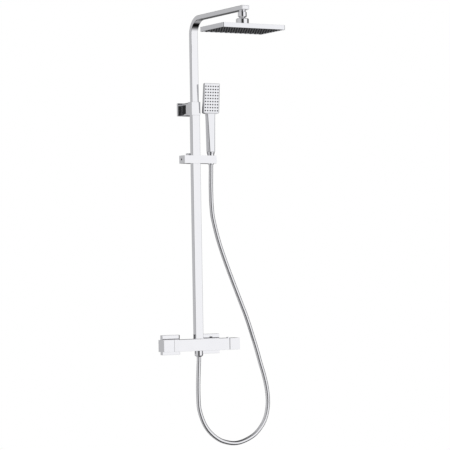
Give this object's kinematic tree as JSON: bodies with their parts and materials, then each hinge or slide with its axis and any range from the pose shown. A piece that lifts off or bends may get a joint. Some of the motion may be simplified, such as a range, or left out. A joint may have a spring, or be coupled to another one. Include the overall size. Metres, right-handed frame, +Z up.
{
  "type": "shower column",
  "caption": "Wall-mounted rainfall shower column with thermostatic bar valve, telescopic square riser, overhead rain head, sliding holder and hand shower on a metal hose.",
  "frame": {"origin": "on the wall plane, half way between the two water inlets, level with the axis of the bar valve", "axes": "+Z up along the riser, +Y into the wall, -Y out over the bather, +X along the valve to the right as seen from the front"},
  "size_m": [0.4081, 0.488, 1.4177],
  "materials": {
    "polished_chrome": "polished chrome plate",
    "plated_abs": "polished chrome plate on moulded plastic",
    "brass": "turned",
    "stainless_steel": "satin",
    "black_rubber": "matte",
    "grey_silicone": "moulded, matte",
    "white_acetal": "moulded",
    "hose_strip": "wound polished strip"
  },
  "bodies": {
    "column": {"valve_body": "polished_chrome", "diverter_cartridge": "brass", "thermostatic_cartridge": "brass", "temperature_stop_ring": "white_acetal", "wall_union_left": "brass", "wall_union_right": "brass", "inlet_filter_left": "stainless_steel", "inlet_filter_right": "stainless_steel", "union_nut_left": "polished_chrome", "union_nut_right": "polished_chrome", "inlet_rose_left": "polished_chrome", "inlet_rose_right": "polished_chrome", "riser_lower_tube": "polished_chrome", "riser_foot_plug": "brass", "riser_nipple": "brass", "bracket_collar": "polished_chrome", "bracket_neck": "polished_chrome", "bracket_base_plate": "stainless_steel", "bracket_tie_screw": "stainless_steel", "bracket_rose": "polished_chrome", "wall_screw_left": "stainless_steel", "wall_screw_right": "stainless_steel", "outlet_nipple": "brass", "hose_outlet_nut": "polished_chrome", "hose_washer_bottom": "black_rubber", "shower_hose": "hose_strip"},
    "flow_handle": {"flow_handle": "polished_chrome", "diverter_spindle": "brass"},
    "temperature_handle": {"temperature_handle": "polished_chrome", "temperature_spindle": "brass"},
    "stop_button": {"temperature_stop_button": "polished_chrome"},
    "riser": {"riser_upper_tube_and_arm": "polished_chrome", "arm_end_cap": "polished_chrome", "tube_guide_plug": "white_acetal", "tube_guide_seal": "black_rubber", "arm_outlet_nipple": "polished_chrome", "flow_limiter": "white_acetal", "swivel_nut_and_ball": "polished_chrome"},
    "ball_seat": {"ball_seat": "white_acetal"},
    "rain_head": {"head_hub_nut": "polished_chrome", "rain_head_shell": "plated_abs", "rain_head_nozzle_plate": "grey_silicone"},
    "slider": {"slider_block": "polished_chrome", "slider_liner": "white_acetal", "slider_yoke": "polished_chrome", "friction_shoe": "white_acetal", "yoke_screw_left": "stainless_steel", "yoke_screw_right": "stainless_steel", "holder_set_screw": "stainless_steel", "lever_pin": "stainless_steel"},
    "release_lever": {"release_lever": "polished_chrome"},
    "hose_end": {"hose_cone_nut": "polished_chrome", "hose_washer_top": "black_rubber"},
    "handset": {"handset_shell": "plated_abs", "handset_spray_face": "grey_silicone", "handset_connector": "brass"}
  },
  "joints": [
    {"name": "flow_turn", "type": "hinge", "parent": "column", "child": "flow_handle", "pos_m": [0, -0.072, 0], "axis": [1, 0, 0], "range_deg": [-90, 90]},
    {"name": "temperature_turn", "type": "hinge", "parent": "column", "child": "temperature_handle", "pos_m": [0, -0.072, 0], "axis": [1, 0, 0], "range_deg": [-150, 60]},
    {"name": "stop_button_press", "type": "slide", "parent": "temperature_handle", "child": "stop_button", "axis": [0, 0, -1], "range_m": [0, 0.0018], "stiffness_N_per_m": 900},
    {"name": "riser_slide", "type": "slide", "parent": "column", "child": "riser", "axis": [0, 0, 1], "range_m": [-0.2, 0.15]},
    {"name": "head_nod", "type": "hinge", "parent": "riser", "child": "ball_seat", "pos_m": [0, -0.386, 1.03495], "axis": [1, 0, 0], "range_deg": [-10, 10]},
    {"name": "head_roll", "type": "hinge", "parent": "ball_seat", "child": "rain_head", "pos_m": [0, -0.386, 1.03495], "axis": [0, 1, 0], "range_deg": [-10, 10]},
    {"name": "slider_slide", "type": "slide", "parent": "column", "child": "slider", "axis": [0, 0, 1], "range_m": [-0.45, 0.115], "deforming": ["shower_hose"]},
    {"name": "lever_press", "type": "hinge", "parent": "slider", "child": "release_lever", "pos_m": [0, -0.0402, 0.604], "axis": [1, 0, 0], "range_deg": [0, 5], "stiffness_Nm_per_rad": 4, "springref_deg": -2.86},
    {"name": "handset_lift", "type": "slide", "parent": "slider", "child": "hose_end", "axis": [0, 0, 1], "range_m": [0, 0.036], "deforming": ["shower_hose"]},
    {"name": "handset_swivel", "type": "hinge", "parent": "hose_end", "child": "handset", "pos_m": [0.0493, -0.081, 0.622], "axis": [0, 0, 1], "range_deg": [-20, 90]}
  ]
}
